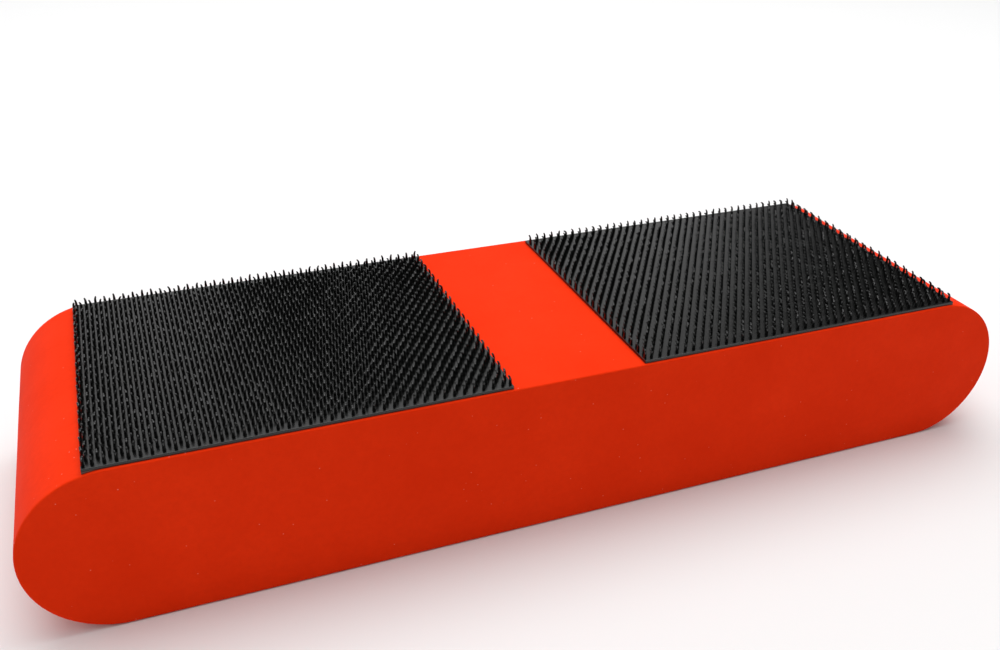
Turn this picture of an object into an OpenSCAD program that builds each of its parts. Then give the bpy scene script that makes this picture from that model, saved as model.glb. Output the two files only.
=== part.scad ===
// Foam drum anchor block with two hook-pin grip mats, lying with the mats up.
// Frame: origin at the centre of the underside, +X along the length, +Z up.
// All sizes are in millimetres.

/* [Foam block] */
// Length of the block, over its two half-round ends
block_l = 330; // [240:1:400]
// Width of the block, front face to back face
block_w = 101.6; // [70:0.1:140]
// Thickness of the block, and so twice the radius of its ends
block_t = 53; // [36:0.5:70]

/* [Grip mats] */
// Distance from each end of the block to the mat next to it
mat_margin = 22; // [15:0.5:40]
// Bare foam between the two mats
mat_gap = 44; // [20:0.5:60]
// Distance by which the pair of mats sits off centre along the block
mat_offset = -1; // [-3:0.5:3]
// Strip of bare foam along the front edge of the mats
mat_inset_front = 0.8; // [0.4:0.1:4]
// Strip of bare foam along the back edge of the mats
mat_inset_back = 2.5; // [0.4:0.1:4]
// Thickness of a mat's sheet, without its pins
sheet_t = 0.8; // [0.6:0.1:1.5]
// Thickness of the adhesive under a mat, where the foam is flat
glue_t = 0.2; // [0.1:0.05:0.5]

/* [Pins] */
// Height of a pin above the sheet
pin_h = 2.6; // [1.5:0.1:4]
// Diameter of a pin where it leaves the sheet
pin_base_d = 1; // [0.9:0.05:1.2]
// Diameter of a pin at its tip
pin_tip_d = 0.6; // [0.3:0.05:0.8]
// Distance from pin to pin along a row
pin_pitch = 3.03; // [2.4:0.01:5]
// Distance from a row to the next, which is shifted by half a pitch
row_pitch = 2.315; // [1.6:0.005:4]
// Clear distance from the outermost pins to the edge of the sheet
pin_edge = 0.1; // [0.1:0.05:1]

/* [Hole] */
// Diameter of the blind hole in the underside
hole_d = 6.5; // [3:0.1:10]
// Depth of the blind hole
hole_depth = 26; // [12:0.5:30]
// Distance from the end of the block to the middle of the hole
hole_inset = 20; // [16:0.5:40]

/* [Printed mark] */
// Distance from each end of the flat underside to the printed outline
print_margin = 40; // [20:0.5:50]
// Width of the printed outline
print_w = 34; // [24:1:60]
// Thickness of its line, and width of the bar inside it
print_line = 5; // [2:0.5:5]
// Depth to which the ink is pressed into the foam
print_t = 0.2; // [0.1:0.05:0.5]

/* [Hidden] */
foam_color = [0.80, 0.10, 0.05];
mat_color = [0.07, 0.07, 0.07];
glue_color = [0.16, 0.07, 0.05];
ink_color = [0.92, 0.90, 0.88];
round_fn = 128;
pin_fn = 16;
// How far a cutting shape reaches past the face that it cuts
overcut = 1;

end_r = block_t / 2;
flat_l = block_l - block_t;

mat_l = (block_l - 2 * mat_margin - mat_gap) / 2;
mat_w = block_w - mat_inset_front - mat_inset_back;
mat_y = (mat_inset_front - mat_inset_back) / 2;
left_x = mat_offset - (mat_gap + mat_l) / 2;
right_x = mat_offset + (mat_gap + mat_l) / 2;
sheet_z = block_t + glue_t;

// Rows of pins fill the sheet and are centred on it. From the back, every second row has
// one pin more, and its two end pins stand right at the cut edges of the sheet.
pin_room_x = mat_l / 2 - pin_base_d / 2 - pin_edge;
pin_room_y = mat_w / 2 - pin_base_d / 2 - pin_edge;
pins = floor(2 * pin_room_x / pin_pitch) + 1;
rows = floor(2 * pin_room_y / row_pitch) + 1;
function pins_in(row) = pins + (rows - 1 - row) % 2;
function pin_x(row, i) =
    max(-pin_room_x, min(pin_room_x, (i - (pins_in(row) - 1) / 2) * pin_pitch));
function pin_y(row) = (row - (rows - 1) / 2) * row_pitch;

// Past the flat top, the foam curves away under a mat, and the adhesive follows it down.
mat_reach = max(0, end_r - mat_margin + abs(mat_offset));
glue_drop = end_r - sqrt(end_r * end_r - mat_reach * mat_reach);

print_l = flat_l - 2 * print_margin;
// The bar stands off the outline by two line widths at each end
bar_l = print_l - 6 * print_line;

// Rectangle with half-round ends, centred, of an overall length and width
module stadium(length, width) {
    square([length - width, width], center = true);
    for (side = [-1, 1])
        translate([side * (length - width) / 2, 0])
            circle(d = width, $fn = round_fn);
}

// The block's outer shape, from its front face to its back face
module block_solid() {
    translate([0, block_w / 2, block_t / 2])
        rotate([90, 0, 0])
            linear_extrude(block_w)
                stadium(block_l, block_t);
}

// Flat shape of the printed mark: an outline with a bar along its middle
module mark_shape() {
    difference() {
        stadium(print_l, print_w);
        stadium(print_l - 2 * print_line, print_w - 2 * print_line);
    }
    stadium(bar_l, print_line);
}

// Block of closed-cell foam, with its blind hole and the shallow bed of the print
module foam_block() {
    color(foam_color)
        difference() {
            block_solid();
            translate([hole_inset - block_l / 2, 0, -overcut])
                cylinder(d = hole_d, h = hole_depth + overcut, $fn = round_fn);
            translate([0, 0, -overcut])
                linear_extrude(print_t + overcut)
                    mark_shape();
        }
}

// Adhesive between the foam and the mat that is centred on x
module adhesive(x) {
    color(glue_color)
        difference() {
            translate([x - mat_l / 2, mat_y - mat_w / 2, block_t - glue_drop])
                cube([mat_l, mat_w, glue_drop + glue_t]);
            block_solid();
        }
}

// One moulded pin, drawn straight: in use its tip is curled to one side
module pin() {
    cylinder(d1 = pin_base_d, d2 = pin_tip_d, h = pin_h, $fn = pin_fn);
}

// Moulded mat centred on x: a thin sheet with staggered rows of pins
module grip_mat(x) {
    color(mat_color)
        translate([x, mat_y, sheet_z]) {
            translate([-mat_l / 2, -mat_w / 2, 0])
                cube([mat_l, mat_w, sheet_t]);
            for (row = [0 : rows - 1])
                for (i = [0 : pins_in(row) - 1])
                    translate([pin_x(row, i), pin_y(row), sheet_t])
                        pin();
        }
}

// Ink of the mark, level with the underside
module printed_mark() {
    color(ink_color)
        linear_extrude(print_t)
            mark_shape();
}

foam_block();
adhesive(left_x);  // left_adhesive
adhesive(right_x);  // right_adhesive
grip_mat(left_x);  // left_grip_mat
grip_mat(right_x);  // right_grip_mat
printed_mark();
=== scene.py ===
# %% [markdown]
# # A foam anchor block with two hook-pin mats
# A drummer lays this block on carpet, pins down, against the hoop of the bass drum or the
# plate of its pedal, and neither creeps away. It is one slab of red closed-cell foam with
# half-round ends, two black moulded mats glued to one face, and a print on the other face.
# Here it lies on its back, mats up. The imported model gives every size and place: it is
# loaded first, and each piece below is built around it in metres, in the same frame.

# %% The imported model
import math
import random
import bmesh
import bpy
from mathutils import Matrix, Quaternion, Vector, noise


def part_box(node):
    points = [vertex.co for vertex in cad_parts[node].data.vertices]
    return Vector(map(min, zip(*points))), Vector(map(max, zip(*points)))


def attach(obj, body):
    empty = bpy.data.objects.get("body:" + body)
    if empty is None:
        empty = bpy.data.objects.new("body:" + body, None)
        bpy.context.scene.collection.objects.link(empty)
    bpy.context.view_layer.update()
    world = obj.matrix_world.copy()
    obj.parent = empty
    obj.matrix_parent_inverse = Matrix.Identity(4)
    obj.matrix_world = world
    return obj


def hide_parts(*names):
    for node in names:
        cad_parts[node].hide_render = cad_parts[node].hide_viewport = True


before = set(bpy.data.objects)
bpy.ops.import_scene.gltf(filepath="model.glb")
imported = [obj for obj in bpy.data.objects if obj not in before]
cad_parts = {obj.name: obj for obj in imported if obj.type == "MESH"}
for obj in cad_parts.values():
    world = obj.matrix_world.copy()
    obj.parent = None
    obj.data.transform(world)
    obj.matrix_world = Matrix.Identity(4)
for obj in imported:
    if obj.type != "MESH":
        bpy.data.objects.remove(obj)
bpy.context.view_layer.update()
MM = 0.001
foam_low, foam_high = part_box("foam_block")
LENGTH = foam_high.x - foam_low.x
WIDTH = foam_high.y - foam_low.y
THICKNESS = foam_high.z - foam_low.z
print(f"block: {LENGTH / MM:.1f} x {WIDTH / MM:.1f} x {THICKNESS / MM:.1f} mm")

# %% [markdown]
# ## Camera
# The camera stands to the left of the block and looks down on it at about 28 degrees. Three
# numbers say where it is on a sphere around its target, which is easier to correct than a
# bare position, and a small roll tilts the picture. The lens is short and near, so that the
# near end looms.

# %% Camera
CAMERA_TARGET = Vector((-2.4, 14.3, 38.2)) * MM
CAMERA_DISTANCE = 372.5 * MM
CAMERA_AZIMUTH = math.radians(-21.61)
CAMERA_ELEVATION = math.radians(28.37)
CAMERA_ROLL = math.radians(0.96)

away = Vector((
    math.sin(CAMERA_AZIMUTH) * math.cos(CAMERA_ELEVATION),
    -math.cos(CAMERA_AZIMUTH) * math.cos(CAMERA_ELEVATION),
    math.sin(CAMERA_ELEVATION),
))
camera_data = bpy.data.cameras.new("camera")
camera_data.sensor_width = 36.0
camera_data.lens = 37.08
camera_data.clip_start = 0.01
camera = bpy.data.objects.new("camera", camera_data)
bpy.context.scene.collection.objects.link(camera)
camera.location = CAMERA_TARGET + CAMERA_DISTANCE * away
aim = (-away).to_track_quat("-Z", "Y")
camera.rotation_euler = (aim @ Quaternion((0, 0, 1), CAMERA_ROLL)).to_euler()
bpy.context.scene.camera = camera
print("camera at", [round(c, 4) for c in camera.location])

# %% [markdown]
# ## Studio
# A plain pale floor, one large soft light overhead and a little behind, and a world that
# stands for the room. The top comes out bright, the long front face about half as bright,
# and the floor in front lies in a soft shadow that darkens the foot of that face. Black
# plastic shows hardly anything but what it mirrors, so the room is drawn with that in mind.
# Seen from the front and above, the flat sheet of a mat mirrors what stands low behind the
# block. The room has a bright wall there, more to the left than to the right, which makes
# the left mat gleam and leaves the far end of the right one black. The bent tips of the pins
# mirror the ceiling, which is bright too. The rest of the room is dim, so that the sides of
# the pins stay black, and a white band at the horizon meets the floor. The Standard view
# keeps the strong red of the foam, which a filmic view would wash out.

# %% Floor, world and lights
bpy.context.scene.view_settings.view_transform = "Standard"


def link_mesh(name, bm):
    """Turns a bmesh into an object at the origin and puts it in the scene."""
    mesh = bpy.data.meshes.new(name)
    bm.to_mesh(mesh)
    bm.free()
    piece = bpy.data.objects.new(name, mesh)
    bpy.context.scene.collection.objects.link(piece)
    return piece


floor_bm = bmesh.new()
bmesh.ops.create_grid(
    floor_bm, x_segments=1, y_segments=1, size=6.0,
    matrix=Matrix.Translation((0, 0, -0.2 * MM)),
)
floor = link_mesh("floor", floor_bm)

floor_paint = bpy.data.materials.new("floor_paint")
floor_paint.use_nodes = True
floor_shader = floor_paint.node_tree.nodes["Principled BSDF"]
floor_shader.inputs["Base Color"].default_value = (0.79, 0.79, 0.79, 1)
floor_shader.inputs["Roughness"].default_value = 0.9
floor_shader.inputs["Specular IOR Level"].default_value = 0.1
floor.data.materials.append(floor_paint)


# Heights are sines of the angle above the horizon, and the wall's edge is a cosine of the
# angle away from its middle.
ROOM_LIGHT = 0.06
CEILING_LIGHT = 0.90
CEILING_FROM = (0.50, 0.70)
WALL_LIGHT = 0.9
WALL_TURN = math.radians(-30)
WALL_DIRECTION = (math.sin(WALL_TURN), math.cos(WALL_TURN), 0)
WALL_EDGE = (0.27, 0.52)
HORIZON_BAND = 0.07


def studio_world():
    """A room with a bright ceiling, a bright wall behind, and white at its horizon."""
    world = bpy.data.worlds.new("studio")
    world.use_nodes = True
    nodes, links = world.node_tree.nodes, world.node_tree.links
    direction = nodes.new("ShaderNodeTexCoord").outputs["Generated"]

    def fade(value, low, high, to_low, to_high):
        node = nodes.new("ShaderNodeMapRange")
        node.interpolation_type = "SMOOTHSTEP"
        links.new(value, node.inputs["Value"])
        limits = {"From Min": low, "From Max": high, "To Min": to_low, "To Max": to_high}
        for name, limit in limits.items():
            node.inputs[name].default_value = limit
        return node.outputs["Result"]

    def larger(first, second):
        node = nodes.new("ShaderNodeMath")
        node.operation = "MAXIMUM"
        links.new(first, node.inputs[0])
        links.new(second, node.inputs[1])
        return node.outputs[0]

    height = nodes.new("ShaderNodeSeparateXYZ")
    links.new(direction, height.inputs[0])
    toward_wall = nodes.new("ShaderNodeVectorMath")
    toward_wall.operation = "DOT_PRODUCT"
    toward_wall.inputs[1].default_value = WALL_DIRECTION
    links.new(direction, toward_wall.inputs[0])
    ceiling = fade(height.outputs["Z"], *CEILING_FROM, ROOM_LIGHT, CEILING_LIGHT)
    wall = fade(toward_wall.outputs["Value"], *WALL_EDGE, ROOM_LIGHT, WALL_LIGHT)
    horizon = fade(height.outputs["Z"], HORIZON_BAND, 2 * HORIZON_BAND, 1.0, 0.0)
    links.new(larger(larger(ceiling, wall), horizon), nodes["Background"].inputs["Strength"])
    nodes["Background"].inputs["Color"].default_value = (1, 1, 1, 1)
    return world


bpy.context.scene.world = studio_world()


def overhead_light(place, size, power):
    """A wide soft light that looks down at the middle of the block."""
    data = bpy.data.lights.new("overhead", "AREA")
    data.shape = "RECTANGLE"
    data.size, data.size_y = size
    data.energy = power
    light = bpy.data.objects.new("overhead", data)
    light.location = place
    light.rotation_euler = (-Vector(place)).to_track_quat("-Z", "Y").to_euler()
    bpy.context.scene.collection.objects.link(light)


overhead_light((0.15, 0.4, 1.5), (1.8, 1.4), 20.0)

# %% [markdown]
# ## Helpers for materials
# Every finish is a small node tree on the Principled shader. A few helpers keep the trees
# readable. One adds a node with its settings, and the others are built on it: they make noise
# and cell patterns in object coordinates, stretch, multiply and mix them, and turn them into
# bumps. A pattern's scale is in repeats per metre, so a value of 1000 is a feature of about
# a millimetre.

# %% Material helpers
def add(tree, kind, inputs=None, **settings):
    """Adds a node, with its settings, and its input values or the sockets that feed them."""
    node = tree.nodes.new(kind)
    for name, value in settings.items():
        setattr(node, name, value)
    for name, value in (inputs or {}).items():
        if isinstance(value, bpy.types.NodeSocket):
            tree.links.new(value, node.inputs[name])
        else:
            node.inputs[name].default_value = value
    return node


def principled(name, color, roughness, specular=0.5):
    """A material, its node tree, its Principled shader and its object coordinates."""
    material = bpy.data.materials.new(name)
    material.use_nodes = True
    tree = material.node_tree
    shader = tree.nodes["Principled BSDF"]
    shader.inputs["Base Color"].default_value = (*color, 1)
    shader.inputs["Roughness"].default_value = roughness
    shader.inputs["Specular IOR Level"].default_value = specular
    place = add(tree, "ShaderNodeTexCoord").outputs["Object"]
    return material, tree, shader, place


def noise_of(tree, place, scale, detail=2.0, rough=0.5):
    """A noise pattern, from 0 to 1."""
    return add(
        tree, "ShaderNodeTexNoise",
        {"Vector": place, "Scale": scale, "Detail": detail, "Roughness": rough},
    ).outputs["Fac"]


def cells_of(tree, place, scale):
    """Distance to the nearest point of a random cell pattern."""
    return add(
        tree, "ShaderNodeTexVoronoi", {"Vector": place, "Scale": scale}
    ).outputs["Distance"]


def remap(tree, value, low, high, to_low=0.0, to_high=1.0):
    """Stretches the stretch from low to high of a pattern to another pair of values."""
    return add(
        tree, "ShaderNodeMapRange",
        {"Value": value, "From Min": low, "From Max": high, "To Min": to_low, "To Max": to_high},
    ).outputs["Result"]


def mixed(tree, factor, first, second):
    """Mixes two colours, each a socket or three numbers, by a pattern."""
    sides = [c if isinstance(c, bpy.types.NodeSocket) else (*c, 1) for c in (first, second)]
    inputs = {0: factor, 6: sides[0], 7: sides[1]}
    return add(tree, "ShaderNodeMix", inputs, data_type="RGBA").outputs[2]


def product(tree, first, second):
    """One pattern times another."""
    return add(tree, "ShaderNodeMath", {0: first, 1: second}, operation="MULTIPLY").outputs[0]


def bumped(tree, height, distance, strength=1.0, below=None):
    """A bump of a given depth in metres, on top of another bump."""
    inputs = {"Height": height, "Distance": distance, "Strength": strength}
    if below is not None:
        inputs["Normal"] = below
    return add(tree, "ShaderNodeBump", inputs).outputs["Normal"]


print("material helpers ready")

# %% [markdown]
# ## Foam
# Closed-cell foam is dyed right through. Its cut skin is matte, with cells of a third of a
# millimetre that only just show, broad soft patches where the dye is a little denser, and a
# few pale crumbs of dust. Broad noise makes the patches, fine noise the grain, a fine cell
# pattern the pores, and a coarse one the crumbs: each lies where the skin cuts close to a
# point of the pattern. Pores, grain and a middling noise also bump the surface very slightly,
# because even a smooth foam never mirrors anything clearly.

# %% Foam material
def foam_material():
    """Matte red foam."""
    material, tree, shader, place = principled("foam", (0.82, 0.031, 0.0015), 0.72, 0.05)
    patches = noise_of(tree, place, 28.0, 4.0, 0.6)
    grain = noise_of(tree, place, 620.0, 3.0, 0.6)
    dye = remap(tree, patches, 0.3, 0.7)
    color = mixed(tree, dye, (0.86, 0.033, 0.0018), (0.78, 0.027, 0.0012))
    color = mixed(tree, remap(tree, grain, 0.35, 0.75, 0.0, 0.35), color, (0.72, 0.023, 0.0010))
    crumbs = remap(tree, cells_of(tree, place, 240.0), 0.050, 0.035, 0.0, 0.4)
    color = mixed(tree, crumbs, color, (0.90, 0.45, 0.38))
    tree.links.new(color, shader.inputs["Base Color"])
    pores = cells_of(tree, place, 2600.0)
    normal = bumped(tree, pores, 0.05 * MM, 0.35)
    normal = bumped(tree, grain, 0.10 * MM, 0.30, normal)
    normal = bumped(tree, noise_of(tree, place, 110.0, 3.0), 0.25 * MM, 0.25, normal)
    tree.links.new(normal, shader.inputs["Normal"])
    tree.links.new(remap(tree, patches, 0.2, 0.8, 0.66, 0.80), shader.inputs["Roughness"])
    return material


foam = foam_material()
print("foam has", len(foam.node_tree.nodes), "nodes")

# %% [markdown]
# ## The foam block
# The profile is a stadium: two straight runs joined by half circles. It is drawn as a loop of
# edges, with a spin for each half circle, filled, and pushed through the width in steps. The
# two steps next to the faces are narrow, because the rounded edge needs a row of faces close
# behind it to shade crisply. The edges are then broken by a small bevel, as a hot wire or a
# blade leaves them. A gentle noise moves the skin inwards by up to a tenth of a millimetre,
# so that no face is machine flat. The underside stays flat, because it carries the print.

# %% Block profile
ARC_STEPS = 40
RUN_STEPS = 44
end_radius = THICKNESS / 2
run = LENGTH / 2 - end_radius


def extend(bm, vert, step, count):
    """Draws count edges on from vert, each a step long, and returns the last vertex."""
    for _ in range(count):
        made = bmesh.ops.extrude_vert_indiv(bm, verts=[vert])
        vert = made["verts"][0]
        bmesh.ops.translate(bm, verts=[vert], vec=step)
    return vert


def half_circle(bm, vert, centre_x, angle):
    """Spins vert through half a turn about an end's axis and returns the last vertex."""
    made = bmesh.ops.spin(
        bm, geom=[vert], cent=(centre_x, foam_low.y, end_radius), axis=(0, 1, 0),
        dvec=(0, 0, 0), angle=angle, steps=ARC_STEPS, use_merge=False, use_duplicate=False,
    )
    return [v for v in made["geom_last"] if isinstance(v, bmesh.types.BMVert)][0]


def block_profile(bm):
    """The stadium as a filled face on the front of the block."""
    step = Vector((2 * run / RUN_STEPS, 0, 0))
    vert = bm.verts.new((-run, foam_low.y, THICKNESS))
    vert = half_circle(bm, vert, -run, -math.pi)
    vert = extend(bm, vert, step, RUN_STEPS)
    vert = half_circle(bm, vert, run, -math.pi)
    extend(bm, vert, -step, RUN_STEPS)
    bmesh.ops.remove_doubles(bm, verts=bm.verts[:], dist=0.01 * MM)
    bmesh.ops.contextual_create(bm, geom=bm.edges[:])
    return bm.faces[:][0]


print(f"ends of {end_radius / MM:.1f} mm radius, {2 * run / MM:.1f} mm apart")

# %% Block body
EDGE_RADIUS = 0.55 * MM
EDGE_ROW = 1.6 * MM
WIDTH_STEPS = 14
SKIN_WAVE = 0.12 * MM
SKIN_WAVES_PER_METRE = 30.0


def push_through(bm, face, steps):
    """Extrudes a face along +Y by each step in turn."""
    for step in steps:
        made = bmesh.ops.extrude_face_region(bm, geom=[face])
        verts = [g for g in made["geom"] if isinstance(g, bmesh.types.BMVert)]
        face = [g for g in made["geom"] if isinstance(g, bmesh.types.BMFace)][0]
        bmesh.ops.translate(bm, verts=verts, vec=(0, step, 0))


def on_a_flank(vert):
    """Whether a vertex lies in the front or the back face."""
    return abs(abs(vert.co.y) - WIDTH / 2) < 0.01 * MM


block_bm = bmesh.new()
profile_face = block_profile(block_bm)
middle = [(WIDTH - 2 * EDGE_ROW) / WIDTH_STEPS] * WIDTH_STEPS
push_through(block_bm, profile_face, [EDGE_ROW, *middle, EDGE_ROW])
bmesh.ops.recalc_face_normals(block_bm, faces=block_bm.faces[:])
rims = [e for e in block_bm.edges if on_a_flank(e.verts[0]) and on_a_flank(e.verts[1])]
bmesh.ops.bevel(
    block_bm, geom=rims, offset=EDGE_RADIUS, offset_type="OFFSET", affect="EDGES",
    segments=3, profile=0.5, material=-1, clamp_overlap=True,
)
for v in block_bm.verts:
    if v.co.z > 1.0 * MM:
        waviness = noise.noise(v.co * SKIN_WAVES_PER_METRE) * 0.5 + 0.5
        v.co -= v.normal * SKIN_WAVE * waviness
# Only the two flanks have many corners, and they stay flat.
for f in block_bm.faces:
    f.smooth = len(f.verts) < 10
block = link_mesh("foam_block_skin", block_bm)
print("block faces:", len(block.data.polygons))

# %% [markdown]
# ## The hole and the bed of the print
# The underside has one blind round hole near an end, and the ink of the print sits in a bed a
# fifth of a millimetre deep. Both are cut with Boolean modifiers, which are then applied: the
# hole with a drawn cylinder, and the bed with a copy of the print's own CAD piece, so that it
# fits exactly. Drawing the underside around them by hand would give the same surface with
# much more work.

# %% Cut the hole and the bed
HOLE_DIAMETER = 6.5 * MM
HOLE_DEPTH = 26.0 * MM
HOLE_INSET = 20.0 * MM
PRINT_DEPTH = 0.2 * MM
OVERCUT = 2.0 * MM


def hole_cutter():
    """A round rod that reaches into the block from below."""
    bm = bmesh.new()
    middle_z = (HOLE_DEPTH - OVERCUT) / 2
    place = Matrix.Translation((foam_low.x + HOLE_INSET, 0, middle_z))
    bmesh.ops.create_cone(
        bm, cap_ends=True, segments=48, radius1=HOLE_DIAMETER / 2, radius2=HOLE_DIAMETER / 2,
        depth=HOLE_DEPTH + OVERCUT, matrix=place,
    )
    return link_mesh("hole_cutter", bm)


def print_cutter():
    """The print's own shape, drawn down past the underside."""
    bm = bmesh.new()
    bm.from_mesh(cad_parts["printed_mark"].data)
    bmesh.ops.remove_doubles(bm, verts=bm.verts[:], dist=0.001 * MM)
    for v in bm.verts:
        if v.co.z < PRINT_DEPTH / 2:
            v.co.z = -OVERCUT / 2
    bmesh.ops.recalc_face_normals(bm, faces=bm.faces[:])
    return link_mesh("print_cutter", bm)


def cut(piece, cutter):
    """Takes the cutter away from the piece, for good."""
    modifier = piece.modifiers.new("cut", "BOOLEAN")
    modifier.operation = "DIFFERENCE"
    modifier.solver = "EXACT"
    modifier.object = cutter
    bpy.context.view_layer.update()
    shape = piece.evaluated_get(bpy.context.evaluated_depsgraph_get())
    mesh = bpy.data.meshes.new_from_object(shape)
    piece.modifiers.clear()
    old, piece.data = piece.data, mesh
    bpy.data.meshes.remove(old)
    bpy.data.objects.remove(cutter)


cut(block, hole_cutter())
cut(block, print_cutter())
block.data.materials.clear()
block.data.materials.append(foam)
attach(block, "root")
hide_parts("foam_block")
print("block faces after the cuts:", len(block.data.polygons))

# %% [markdown]
# ## Plastic of the mats
# The mats are moulded in black polyethylene. Its colour is close to none at all, so what is
# seen of it is its satin gloss: the flat sheet mirrors the wall behind the block as a soft
# grey, each pin blocks that mirror image and leaves a black streak below itself, and the
# hooked tips take small lights from above. The gloss is never quite even, so a broad noise
# changes the roughness, and a thin film of dust adds a trace of colour.

# %% Mat material
def mat_material():
    """Satin black moulded plastic."""
    material, tree, shader, place = principled("mat", (0.002, 0.0022, 0.002), 0.22, 0.5)
    haze = noise_of(tree, place, 170.0, 4.0, 0.6)
    grain = noise_of(tree, place, 1500.0, 2.0, 0.5)
    dust = remap(tree, haze, 0.3, 0.7)
    color = mixed(tree, dust, (0.001, 0.0011, 0.001), (0.003, 0.0034, 0.0032))
    tree.links.new(color, shader.inputs["Base Color"])
    tree.links.new(remap(tree, haze, 0.25, 0.75, 0.17, 0.26), shader.inputs["Roughness"])
    tree.links.new(bumped(tree, grain, 0.04 * MM, 0.4), shader.inputs["Normal"])
    return material


mat_plastic = mat_material()
print("mat plastic has", len(mat_plastic.node_tree.nodes), "nodes")

# %% [markdown]
# ## One pin
# A pin is a tapered stalk two and a half millimetres tall, whose tip was pulled over into a
# hook as it left the mould. It starts as a hexagon inside the sheet, and is drawn out ring by
# ring: each step extrudes the end face, moves it along the way it points, tips it over by
# its share of the hook's angle, and makes it a little smaller. Six sides and eight steps are
# enough for a thing this small, and keep the mats light, because there are more than three
# thousand pins.

# %% Pin shapes
PIN_SIDES = 6
PIN_FOOT = 0.65 * MM
PIN_SUNK = 0.1 * MM
PIN_ROOT = 0.3 * MM
PIN_STEM = 1.25 * MM
STALK_TAPERS = (0.90, 0.88, 0.86)
PIN_HOOK = 1.7 * MM
HOOK_STEPS = 5
HOOK_TAPER = 0.92
HOOK_ANGLES = (90, 105, 120, 130)


def drawn_on(bm, face, length, tilt, shrink):
    """Extrudes the end face by a length along its normal, tips it and scales it."""
    made = bmesh.ops.extrude_face_region(bm, geom=[face])
    verts = [g for g in made["geom"] if isinstance(g, bmesh.types.BMVert)]
    end = [g for g in made["geom"] if isinstance(g, bmesh.types.BMFace)][0]
    end.normal_update()
    bmesh.ops.translate(bm, verts=verts, vec=end.normal * length)
    centre = Matrix.Translation(-end.calc_center_median())
    turn = Matrix.Rotation(tilt, 3, "Y")
    bmesh.ops.rotate(bm, verts=verts, cent=end.calc_center_median(), matrix=turn)
    bmesh.ops.scale(bm, verts=verts, vec=(shrink, shrink, shrink), space=centre)
    end.normal_update()
    return end


def pin_mesh(name, angle):
    """One pin, standing on the origin, with a tip that hooks towards -X by an angle."""
    bm = bmesh.new()
    bmesh.ops.create_circle(
        bm, cap_ends=True, radius=PIN_FOOT, segments=PIN_SIDES,
        matrix=Matrix.Translation((0, 0, -PIN_SUNK)),
    )
    end = bm.faces[:][0]
    end.normal_update()
    if end.normal.z < 0:
        bmesh.ops.reverse_faces(bm, faces=[end])
    for length, taper in zip((PIN_SUNK, PIN_ROOT, PIN_STEM - PIN_ROOT), STALK_TAPERS):
        end = drawn_on(bm, end, length, 0.0, taper)
    for _ in range(HOOK_STEPS):
        end = drawn_on(bm, end, PIN_HOOK / HOOK_STEPS, -angle / HOOK_STEPS, HOOK_TAPER)
    bmesh.ops.recalc_face_normals(bm, faces=bm.faces[:])
    for f in bm.faces:
        f.smooth = True
    mesh = bpy.data.meshes.new(name)
    bm.to_mesh(mesh)
    bm.free()
    return mesh


pin_shapes = [pin_mesh(f"pin_{degrees}", math.radians(degrees)) for degrees in HOOK_ANGLES]
print("faces in a pin:", len(pin_shapes[0].polygons))

# %% [markdown]
# ## The mats
# A mat is a thin sheet with its cut edges just broken, and rows of pins. From the back, every
# second row is shifted by half a pitch and has one pin more, whose end pins stand right at
# the cut edges, where the knife went through. The hooks point to the back of the block, so
# that the camera sees the bends that take the light. Each pin is one of the four shapes,
# turned and stretched a little by chance, with a fixed seed so that the mat is the same each
# time. The pins are copied into one mesh with the sheet, because the real mat is one
# moulding. Instances would be lighter, but a part in a library should be plain geometry.

# %% Mats
PIN_PITCH = 3.03 * MM
ROW_PITCH = 2.315 * MM
PIN_BASE = 1.0 * MM
PIN_EDGE = 0.1 * MM
PIN_HEIGHTS = (0.92, 1.0)
HOOK_SPREAD_DEGREES = 16
SHEET = 0.8 * MM
SHEET_EDGE = 0.12 * MM


def sheet_into(bm, low, high):
    """The mat's sheet: a thin slab with softly broken edges."""
    size = Vector((high.x - low.x, high.y - low.y, SHEET))
    middle = Vector(((low.x + high.x) / 2, (low.y + high.y) / 2, low.z + SHEET / 2))
    made = bmesh.ops.create_cube(
        bm, size=1.0, matrix=Matrix.Translation(middle) @ Matrix.Diagonal((*size, 1))
    )
    edges = list({e for v in made["verts"] for e in v.link_edges})
    bmesh.ops.bevel(
        bm, geom=edges, offset=SHEET_EDGE, offset_type="OFFSET", affect="EDGES",
        segments=2, profile=0.5, material=-1, clamp_overlap=True,
    )


def pins_into(bm, low, high, facing, chance):
    """All pins of a mat, in staggered rows centred on its sheet, turned by facing."""
    room_x = (high.x - low.x - PIN_BASE) / 2 - PIN_EDGE
    room_y = (high.y - low.y - PIN_BASE) / 2 - PIN_EDGE
    across = int(2 * room_x / PIN_PITCH + 1e-6) + 1
    rows = int(2 * room_y / ROW_PITCH + 1e-6) + 1
    middle = (low + high) / 2
    for row in range(rows):
        count = across + (rows - 1 - row) % 2
        for i in range(count):
            x = max(-room_x, min(room_x, (i - (count - 1) / 2) * PIN_PITCH))
            y = (row - (rows - 1) / 2) * ROW_PITCH
            turn = facing + math.radians(chance.gauss(0, HOOK_SPREAD_DEGREES))
            tall = chance.uniform(*PIN_HEIGHTS)
            pose = (
                Matrix.Translation((middle.x + x, middle.y + y, low.z + SHEET))
                @ Matrix.Rotation(turn, 4, "Z")
                @ Matrix.Diagonal((1, 1, tall, 1))
            )
            shape = chance.choice(pin_shapes)
            shape.transform(pose)
            bm.from_mesh(shape)
            shape.transform(pose.inverted())
    return across, rows


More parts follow.
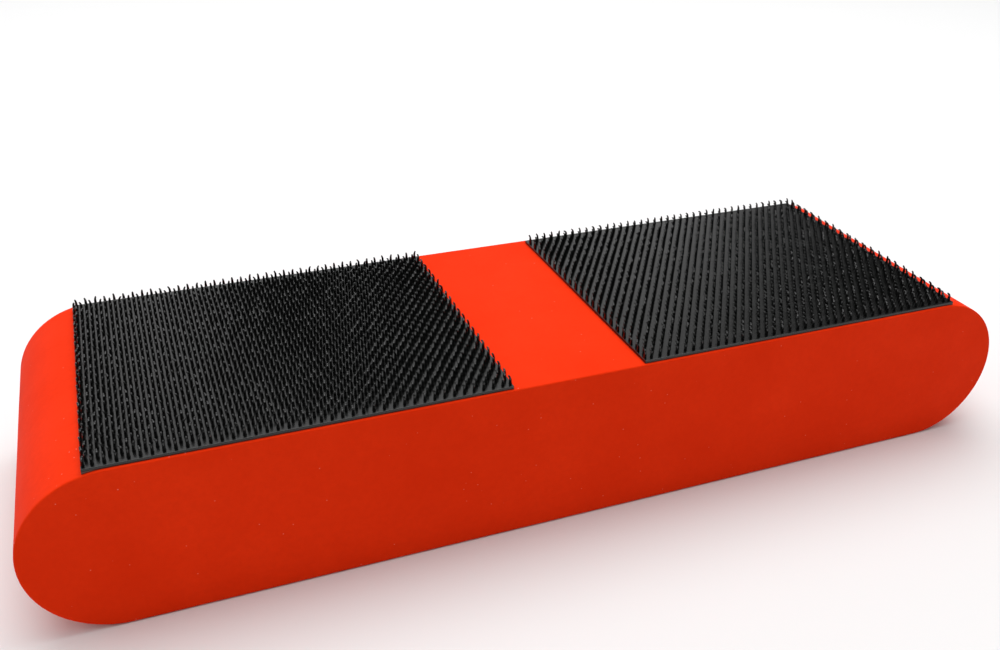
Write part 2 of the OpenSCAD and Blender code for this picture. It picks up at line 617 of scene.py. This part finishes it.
def grip_mat(name, node, facing, seed):
    """A whole mat in the place of its CAD node."""
    low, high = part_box(node)
    bm = bmesh.new()
    sheet_into(bm, low, high)
    across, rows = pins_into(bm, low, high, facing, random.Random(seed))
    piece = link_mesh(name, bm)
    piece.data.materials.append(mat_plastic)
    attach(piece, "root")
    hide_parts(node)
    print(name, "has", rows, "rows of about", across, "pins,", len(piece.data.polygons), "faces")
    return piece


left_mat = grip_mat("left_mat", "left_grip_mat", -math.pi / 2, 11)
right_mat = grip_mat("right_mat", "right_grip_mat", -math.pi / 2, 12)
for shape in pin_shapes:
    bpy.data.meshes.remove(shape)

# %% [markdown]
# ## Adhesive and ink
# The films of adhesive and the ink keep their CAD shapes, which are right as they are, and
# get finishes of their own. The adhesive is coloured a near-black amber as painted shade: it
# stands for the shadow under a mat's edge, so it shows as a thin dark line under a mat and as
# a small dark wedge where the foam curves away. The ink is a flat off-white that has sunk
# into the foam unevenly, so that a little red shows through it.

# %% Adhesive and ink materials
def adhesive_painted_shade_material():
    """Dark amber adhesive, coloured as painted shade for the shadow under a mat's edge."""
    # The near-black colour is painted shade: it stands for the shadow under each mat's edge.
    material, tree, shader, place = principled("adhesive", (0.08, 0.02, 0.01), 0.30, 0.5)
    blobs = noise_of(tree, place, 300.0, 3.0)
    color = mixed(tree, remap(tree, blobs, 0.35, 0.7), (0.10, 0.025, 0.012), (0.04, 0.012, 0.008))
    tree.links.new(color, shader.inputs["Base Color"])
    tree.links.new(bumped(tree, blobs, 0.1 * MM, 0.5), shader.inputs["Normal"])
    return material


def ink_material():
    """Off-white screen ink with pinholes that show the foam."""
    material, tree, shader, place = principled("ink", (0.78, 0.74, 0.72), 0.55, 0.4)
    pinholes = cells_of(tree, place, 1400.0)
    wear = noise_of(tree, place, 220.0, 4.0, 0.65)
    bare = product(tree, remap(tree, pinholes, 0.18, 0.05), remap(tree, wear, 0.45, 0.7))
    color = mixed(tree, remap(tree, wear, 0.3, 0.8), (0.80, 0.77, 0.75), (0.70, 0.62, 0.60))
    color = mixed(tree, bare, color, (0.78, 0.05, 0.02))
    tree.links.new(color, shader.inputs["Base Color"])
    tree.links.new(bumped(tree, wear, 0.05 * MM, 0.5), shader.inputs["Normal"])
    return material


def finish_node(node, material):
    """Gives a CAD node's object its material."""
    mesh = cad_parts[node].data
    mesh.materials.clear()
    mesh.materials.append(material)


# The adhesive's dark colour is painted shade for the shadow line under the mats.
glue_as_painted_shade = adhesive_painted_shade_material()
for side in ("left", "right"):
    finish_node(f"{side}_adhesive", glue_as_painted_shade)
finish_node("printed_mark", ink_material())
print("finished nodes:", [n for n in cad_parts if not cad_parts[n].hide_render])
